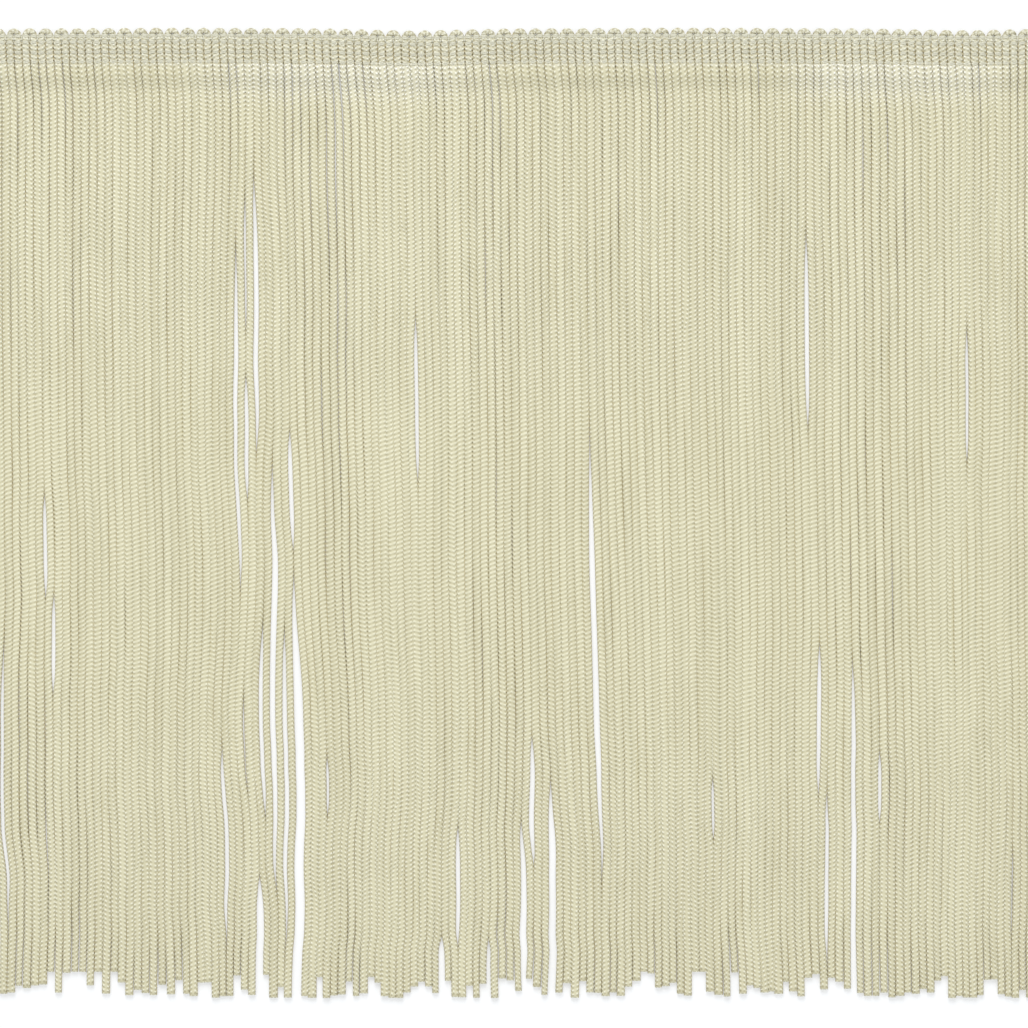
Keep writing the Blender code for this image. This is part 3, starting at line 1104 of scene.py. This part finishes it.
class NodeSheet:
    """A node tree that is written top to bottom, with short calls."""

    def __init__(self, tree: bpy.types.NodeTree) -> None:
        """Work on a tree."""
        self.tree = tree

    def add(self, kind: str, **settings: object) -> bpy.types.Node:
        """Add a node and set its properties.

        Args:
            kind: Its kind, without the prefix that all share.
            settings: Its properties.

        Returns:
            The node.
        """
        node = self.tree.nodes.new(f"ShaderNode{kind}")
        for key, value in settings.items():
            setattr(node, key, value)
        return node

    def put(self, source: object, target: bpy.types.NodeSocket) -> None:
        """Link a socket to another, or set a number or colour on it.

        Args:
            source: The other socket, or the number or colour.
            target: The socket.
        """
        if isinstance(source, bpy.types.NodeSocket):
            self.tree.links.new(source, target)
        else:
            target.default_value = source

    def put_all(self, node: bpy.types.Node, values: dict[str, object]) -> bpy.types.Node:
        """Link or set several inputs of a node.

        Args:
            node: The node.
            values: What each input takes, by its name.

        Returns:
            The node.
        """
        for name, value in values.items():
            self.put(value, node.inputs[name])
        return node

    def maths(self, operation: str, *values: object) -> bpy.types.NodeSocket:
        """A Math node's result.

        Args:
            operation: What it does.
            values: What its inputs take, in order.

        Returns:
            The result.
        """
        node = self.add("Math", operation=operation)
        for value, socket in zip(values, node.inputs):
            self.put(value, socket)
        return node.outputs[0]

    def times(self, first: object, second: object, more: object = None) -> bpy.types.NodeSocket:
        """The product of two numbers, plus a third if there is one.

        Args:
            first: A number.
            second: A number.
            more: What is added.

        Returns:
            The result.
        """
        if more is None:
            return self.maths("MULTIPLY", first, second)
        return self.maths("MULTIPLY_ADD", first, second, more)

    def ramp(self, value: object, spans: tuple[float, ...], smooth: bool = True) -> bpy.types.NodeSocket:
        """A value carried over from one span to another.

        Args:
            value: The value.
            spans: Where its own span starts and ends, and what it becomes there.
            smooth: Whether it eases in and out.

        Returns:
            The result, held at the ends of its span.
        """
        node = self.add("MapRange", interpolation_type="SMOOTHSTEP" if smooth else "LINEAR")
        for number, socket in zip((value, *spans), node.inputs):
            self.put(number, socket)
        return node.outputs[0]

    def mix(self, share: object, first: object, second: object) -> bpy.types.NodeSocket:
        """A mix of two colours.

        Args:
            share: The second one's share.
            first: A colour.
            second: A colour.

        Returns:
            The mixed colour.
        """
        node = self.add("Mix", data_type="RGBA")
        for value, number in ((share, 0), (first, 6), (second, 7)):
            self.put(value, node.inputs[number])
        return node.outputs[2]

    def attribute(self, name: str) -> bpy.types.NodeSocket:
        """A number that the piece's vertices hold."""
        return self.add("Attribute", attribute_name=name).outputs["Fac"]

    def stitch_map(self) -> bpy.types.NodeSocket:
        """The piece's own map, round the cord and along it."""
        return self.add("UVMap", uv_map="Stitch").outputs[0]

    def split(self, vector: object) -> list[bpy.types.NodeSocket]:
        """The three coordinates of a vector."""
        return list(self.put_all(self.add("SeparateXYZ"), {"Vector": vector}).outputs)

    def group(self, tree: bpy.types.NodeTree, **values: object) -> bpy.types.Node:
        """A node group, with its inputs linked or set."""
        return self.put_all(self.add("Group", node_tree=tree), values)

    def bump(self, height: object, depth: float, strength: float = 1.0) -> bpy.types.NodeSocket:
        """The normal of a relief whose full height is this deep."""
        values = {"Strength": strength, "Distance": depth, "Height": height}
        return self.put_all(self.add("Bump"), values).outputs[0]


def group_tree(name: str, inputs: dict[str, str], outputs: list[str]) -> tuple[NodeSheet, object, object]:
    """Start a shader node group.

    Args:
        name: The group's name.
        inputs: Each input's name and kind of socket.
        outputs: The names of its outputs, all numbers.

    Returns:
        The sheet to write on, the group input's sockets, and the group output's sockets.
    """
    tree = bpy.data.node_groups.new(name, "ShaderNodeTree")
    for key, kind in inputs.items():
        tree.interface.new_socket(key, in_out="INPUT", socket_type=f"NodeSocket{kind}")
    for key in outputs:
        tree.interface.new_socket(key, in_out="OUTPUT", socket_type="NodeSocketFloat")
    return NodeSheet(tree), tree.nodes.new("NodeGroupInput").outputs, tree.nodes.new("NodeGroupOutput").inputs


def knit_group() -> bpy.types.NodeTree:
    """The relief of chainette on the stitch map: each leg a long oval of fine filaments.

    Along is the distance from a leg's crest in half stitches, and across runs from -1 to 1 along the leg.
    An oval is half of 1 plus the cosine of pi along. Where beads are asked for, it is parted halfway by a
    factor of 1 less half of 1 minus the cosine of 2 pi across, and is lower where they aren't. Fine ridges
    follow the leg.

    Returns:
        The group. Leg is the oval, and Height has the ridges on it.
    """
    sheet, given, result = group_tree("knit_relief", {"Map": "Vector", "Beads": "Float"}, ["Height", "Leg"])
    around, stitches, _ = sheet.split(given["Map"])
    inside = sheet.times(sheet.maths("FRACT", around), 2.0)
    way = sheet.times(sheet.maths("FLOOR", inside), -2.0, 1.0)
    across = sheet.times(sheet.maths("FRACT", inside), 2.0, -1.0)
    phase = sheet.maths("FRACT", sheet.maths("ADD", stitches, 0.5))
    tilt = sheet.times(sheet.times(across, way), 0.05)
    along = sheet.maths("ADD", sheet.times(phase, 2.0, -1.0), tilt)
    stroke = sheet.maths("COSINE", sheet.times(along, math.pi))
    parted = sheet.times(sheet.maths("COSINE", sheet.times(across, 2 * math.pi)), 0.5, -0.5)
    parted = sheet.times(parted, given["Beads"], 1.0)
    firm = sheet.times(given["Beads"], 0.3, 0.7)
    oval = sheet.times(sheet.times(stroke, sheet.times(parted, firm)), 0.5, 0.5)
    ridges = sheet.times(sheet.maths("SINE", sheet.times(along, 14.0)), 0.5, 0.5)
    sheet.put(oval, result["Leg"])
    sheet.put(sheet.times(ridges, 0.1, oval), result["Height"])
    return sheet.tree


def cloudy_group() -> bpy.types.NodeTree:
    """Slow and fine changes of shade over a piece.

    Returns:
        The group. Shade adds up two noises on the piece's own coordinates, and its cord's tone.
    """
    sheet, given, result = group_tree("soft_mottle", {"Place": "Vector", "Tone": "Float"}, ["Shade"])
    slow, fine = (
        sheet.put_all(sheet.add("TexNoise"), {"Vector": given["Place"], "Scale": scale}).outputs[0]
        for scale in (38, 650)
    )
    shade = sheet.times(slow, 0.4, sheet.times(fine, 0.3))
    sheet.put(sheet.times(given["Tone"], 0.3, shade), result["Shade"])
    return sheet.tree


def lustre_group() -> bpy.types.NodeTree:
    """Where the cord shines, by its place on the trim; the cord's material paints a sheen and highlights into
    its colour by these, besides making it smoother and its relief deeper.

    Returns:
        The group. Share is where the strands, bent over as they leave the heading, lie smooth and shine: a
        band along Y that fades out downward, in broad patches of a noise along X. Beads is how clearly the
        stitches stand out, the least halfway down. Bound is the heading, where the cord is greyer.
    """
    sheet, given, result = group_tree("bent_lustre", {"Place": "Vector"}, ["Share", "Beads", "Bound"])
    x, y, _ = sheet.split(given["Place"])
    noise = sheet.add("TexNoise", noise_dimensions="1D")
    sheet.put_all(noise, {"Scale": 14, "Detail": 1, "W": sheet.maths("ADD", x, 3.72)})
    patches = sheet.ramp(noise.outputs[0], (0.47, 0.63, 0.0, 1.0), smooth=False)
    band_foot, band_head = (98 * MM, 107 * MM, 0.0, 1.0), (109.5 * MM, 110.5 * MM, 1.0, 0.0)
    clear_above, clear_below = (10 * MM, 55 * MM, 0.6, 1.0), (-85 * MM, -20 * MM, 1.0, 0.6)
    grey_above = (108.5 * MM, 110.5 * MM, 0.0, 0.4)
    band = sheet.times(sheet.ramp(y, band_foot), sheet.ramp(y, band_head))
    sheet.put(sheet.times(band, patches), result["Share"])
    upper, lower = sheet.ramp(y, clear_above), sheet.ramp(y, clear_below)
    sheet.put(sheet.maths("MAXIMUM", upper, lower), result["Beads"])
    sheet.put(sheet.ramp(y, grey_above), result["Bound"])
    return sheet.tree


def plain_material(name: str, values: dict[str, object]) -> tuple[bpy.types.Material, bpy.types.Node]:
    """Start a material.

    Args:
        name: Its name.
        values: What is set on its shader's own sockets, the same all over.

    Returns:
        The material and its Principled shader.
    """
    made = bpy.data.materials.new(name)
    made.use_nodes = True
    shader = made.node_tree.nodes["Principled BSDF"]
    NodeSheet(made.node_tree).put_all(shader, values)
    return made, shader


@dataclass(frozen=True)
class SatinCord:
    """Cream chainette: knitted filament with a soft satin shine; part of the shine, the shade between legs
    and the shade on the flanks are painted into its colour.

    Attributes:
        light: The colour of a leg's crest.
        groove_shade: The colour of the painted shade between legs.
        glint: The colour of the painted highlight on a crest.
        bound: What the crests' colour tends to in the heading.
        flank_shade: The colour of the painted shade on the cord's flanks, where they meet the next cord's.
        flank_shade_span: The rise at which that painted shade ends, and at which the face's colour is whole.
        leg_share: How far a leg's relief carries the colour from the painted groove shade to light.
        mottle_share: How far the mottle does.
        bead_shine: The painted highlight's share where the stitches stand out.
        bent_shine: What the bent strands add to it.
        bent_haze: How far they tend to the glint's colour all over, as a painted sheen.
        glint_power: The power of the leg's relief that keeps the glint narrow.
        roughness: Between legs.
        smoother_leg: How much less it is on a crest.
        smoother_bend: How much less it is where the strands are bent.
        relief: Depth of the bump.
    """

    light: Colour = (0.745, 0.72, 0.51, 1)
    groove_shade: Colour = (0.385, 0.338, 0.178, 1)
    glint: Colour = (0.93, 0.92, 0.83, 1)
    bound: Colour = (0.66, 0.67, 0.6, 1)
    flank_shade: Colour = (0.52, 0.445, 0.245, 1)
    flank_shade_span: tuple[float, float] = (0.62, 0.92)
    leg_share: float = 0.8
    mottle_share: float = 0.4
    bead_shine: float = 0.6
    bent_shine: float = 1.1
    bent_haze: float = 0.15
    glint_power: float = 4.0
    roughness: float = 0.5
    smoother_leg: float = 0.16
    smoother_bend: float = 0.12
    relief: float = 0.19 * MM

    def material(
        self, knit: bpy.types.NodeTree, mottle: bpy.types.NodeTree, lustre: bpy.types.NodeTree
    ) -> bpy.types.Material:
        """Make the material.

        Args:
            knit: The group of the knit's relief.
            mottle: The group of soft changes of shade.
            lustre: The group of where the cord shines.

        Returns:
            The material, which reads the map "Stitch" and the attributes "tone" and "rise".
        """
        plain = {"Sheen Weight": 0.15, "Sheen Roughness": 0.5, "Specular IOR Level": 0.6}
        made, shader = plain_material("satin_chainette", plain)
        sheet = NodeSheet(made.node_tree)
        place = sheet.add("TexCoord").outputs["Object"]
        shade = sheet.group(mottle, Place=place, Tone=sheet.attribute("tone")).outputs["Shade"]
        bent, beads, bound = sheet.group(lustre, Place=place).outputs
        knitted = sheet.group(knit, Map=sheet.stitch_map(), Beads=beads).outputs
        leg = knitted["Leg"]
        # Painted shade: the colour darkens from each leg's crest into the grooves between legs, by the leg's
        # relief.
        share = sheet.times(shade, self.mottle_share, sheet.times(leg, self.leg_share))
        cord = sheet.mix(share, self.groove_shade, sheet.mix(bound, self.light, self.bound))
        # Painted shade on the cord's flanks, where it meets its neighbour, read from the rise.
        face = sheet.ramp(sheet.attribute("rise"), (*self.flank_shade_span, 0.0, 1.0))
        cord = sheet.mix(face, self.flank_shade, cord)
        # Painted sheen: where the bent strands shine, the colour tends to the highlight's.
        cord = sheet.mix(sheet.times(bent, self.bent_haze), cord, self.glint)
        # Painted highlight on each leg's crest, kept narrow by a power of the relief.
        shine = sheet.times(bent, self.bent_shine, sheet.times(beads, self.bead_shine))
        shine = sheet.times(sheet.maths("POWER", leg, self.glint_power), shine)
        sheet.put(sheet.mix(shine, cord, self.glint), shader.inputs["Base Color"])
        rough = sheet.times(bent, -self.smoother_bend, sheet.times(leg, -self.smoother_leg, self.roughness))
        sheet.put(rough, shader.inputs["Roughness"])
        depth = sheet.times(bent, 0.4, sheet.times(beads, 0.5, 0.5))
        sheet.put(sheet.bump(sheet.times(knitted["Height"], depth), self.relief), shader.inputs["Normal"])
        return made


@dataclass(frozen=True)
class PlyThread:
    """Ivory binding thread: two plies twisted together, smooth and a little greyer than the cord.

    Attributes:
        light: The colour of a ply's crest.
        groove_shade: The colour of the painted shade between plies.
        plies: How many plies go round the thread.
        twist: How often they turn in a strand's width.
        ply_share: How far a ply's relief carries the colour from the painted shade between plies to light.
        mottle_share: How far the mottle does.
        roughness: Between plies.
        smoother_ply: How much less it is on a crest.
        relief: Depth of the bump.
    """

    light: Colour = (0.70, 0.69, 0.57, 1)
    groove_shade: Colour = (0.50, 0.48, 0.36, 1)
    plies: float = 2.0
    twist: float = 3.0
    ply_share: float = 0.4
    mottle_share: float = 0.8
    roughness: float = 0.46
    smoother_ply: float = 0.08
    relief: float = 0.05 * MM

    def material(self, mottle: bpy.types.NodeTree) -> bpy.types.Material:
        """Make the material, whose plies are a sine on the sum of the map's two coordinates.

        Args:
            mottle: The group of soft changes of shade.

        Returns:
            The material, which reads the map "Stitch" and the attribute "tone".
        """
        made, shader = plain_material("ply_binding_thread", {"Sheen Weight": 0.1})
        sheet = NodeSheet(made.node_tree)
        around, along, _ = sheet.split(sheet.stitch_map())
        turned = sheet.times(along, self.twist, sheet.times(around, self.plies))
        ply = sheet.times(sheet.maths("SINE", sheet.times(turned, 2 * math.pi)), 0.5, 0.5)
        place = sheet.add("TexCoord").outputs["Object"]
        shade = sheet.group(mottle, Place=place, Tone=sheet.attribute("tone")).outputs["Shade"]
        # Painted shade: the colour darkens from each ply's crest into the groove between plies.
        share = sheet.times(ply, self.ply_share, sheet.times(shade, self.mottle_share))
        sheet.put(sheet.mix(share, self.groove_shade, self.light), shader.inputs["Base Color"])
        sheet.put(sheet.times(ply, -self.smoother_ply, self.roughness), shader.inputs["Roughness"])
        sheet.put(sheet.bump(ply, self.relief, 0.5), shader.inputs["Normal"])
        return made


@dataclass(frozen=True)
class Studio:
    """A plain white floor, soft light from beyond the heading, and a camera straight above.

    Attributes:
        view_width: Width of the floor that the camera sees.
        aim: The place that it looks down on, along X and Y.
        lens: The camera's focal length, in millimetres.
        sensor: Its sensor's width, in millimetres.
        floor_half: Half of the floor's width.
        floor_height: The floor's height, a hair under the trim.
        paper: The floor's colour.
        paper_glow: The colour of what the floor gives off itself.
        air: The colour of the light from all round.
    """

    view_width: float = 251.86 * MM
    aim: tuple[float, float] = (0.54 * MM, -0.18 * MM)
    lens: float = 135.0
    sensor: float = 36.0
    floor_half: float = 1.5
    floor_height: float = -0.02 * MM
    paper: Colour = (0.59, 0.595, 0.60, 1)
    paper_glow: Colour = (0.97, 0.98, 1, 1)
    air: Colour = (0.97, 0.985, 1, 1)

    def floor(self) -> None:
        """Make the surface that the trim lies on."""
        half, low = self.floor_half, self.floor_height
        mesh = bpy.data.meshes.new("studio_floor")
        corners = [(-half, -half, low), (half, -half, low), (half, half, low), (-half, half, low)]
        mesh.from_pydata(corners, [], [(0, 1, 2, 3)])
        made = bpy.data.objects.new("studio_floor", mesh)
        bpy.context.scene.collection.objects.link(made)
        look = {"Base Color": self.paper, "Roughness": 0.9, "Specular IOR Level": 0.1}
        glow = {"Emission Color": self.paper_glow, "Emission Strength": 0.35}
        made.data.materials.append(plain_material("studio_paper", look | glow)[0])

    def lamp(self, name: str, place: tuple[float, float, float], size: float, power: float) -> None:
        """Add a square soft light that faces the trim's middle.

        Args:
            name: Its name.
            place: Where it stands.
            size: Its width.
            power: Its power, in watts.
        """
        data = bpy.data.lights.new(name, "AREA")
        data.size = size
        data.energy = power
        made = bpy.data.objects.new(name, data)
        made.location = place
        made.rotation_euler = (-Vector(place)).to_track_quat("-Z", "Y").to_euler()
        bpy.context.scene.collection.objects.link(made)

    def set_up(self) -> None:
        """Make the floor, lights, surroundings and camera."""
        self.floor()
        self.lamp("key_light", place=(-0.15, 1.3, 1.25), size=1.2, power=22)
        self.lamp("fill_light", place=(0.3, -1.2, 1.4), size=1.4, power=6)
        world = bpy.data.worlds.new("studio_air")
        world.use_nodes = True
        light = {"Color": self.air, "Strength": 0.7}
        NodeSheet(world.node_tree).put_all(world.node_tree.nodes["Background"], light)
        scene = bpy.context.scene
        scene.world = world
        scene.view_settings.view_transform = "Standard"
        data = bpy.data.cameras.new("camera")
        data.lens = self.lens
        data.sensor_width = self.sensor
        data.clip_start = 0.05
        data.clip_end = 20
        made = bpy.data.objects.new("camera", data)
        made.location = (*self.aim, self.view_width * self.lens / self.sensor + MM)
        scene.collection.objects.link(made)
        scene.camera = made


def main() -> None:
    """Build and dress the trim."""
    logging.basicConfig(level=logging.INFO, format="%(message)s")
    lay = Lay()
    tube = KnitTube()
    mottle = cloudy_group()
    cord_finish = SatinCord().material(knit_group(), mottle, lustre_group())
    thread_finish = PlyThread().material(mottle)
    Studio().set_up()
    strands = FringeStrands(lay, replace(tube, boxiness=0.42, tuck=0.1)).make(cord_finish)
    loops = HeadingLoops(lay, tube)
    heading = loops.make(cord_finish)
    rows = [BindingRow(lay, number).make(thread_finish) for number in ROW_NUMBERS]
    loops.declare(heading, strands + rows)


if __name__ == "__main__":
    main()
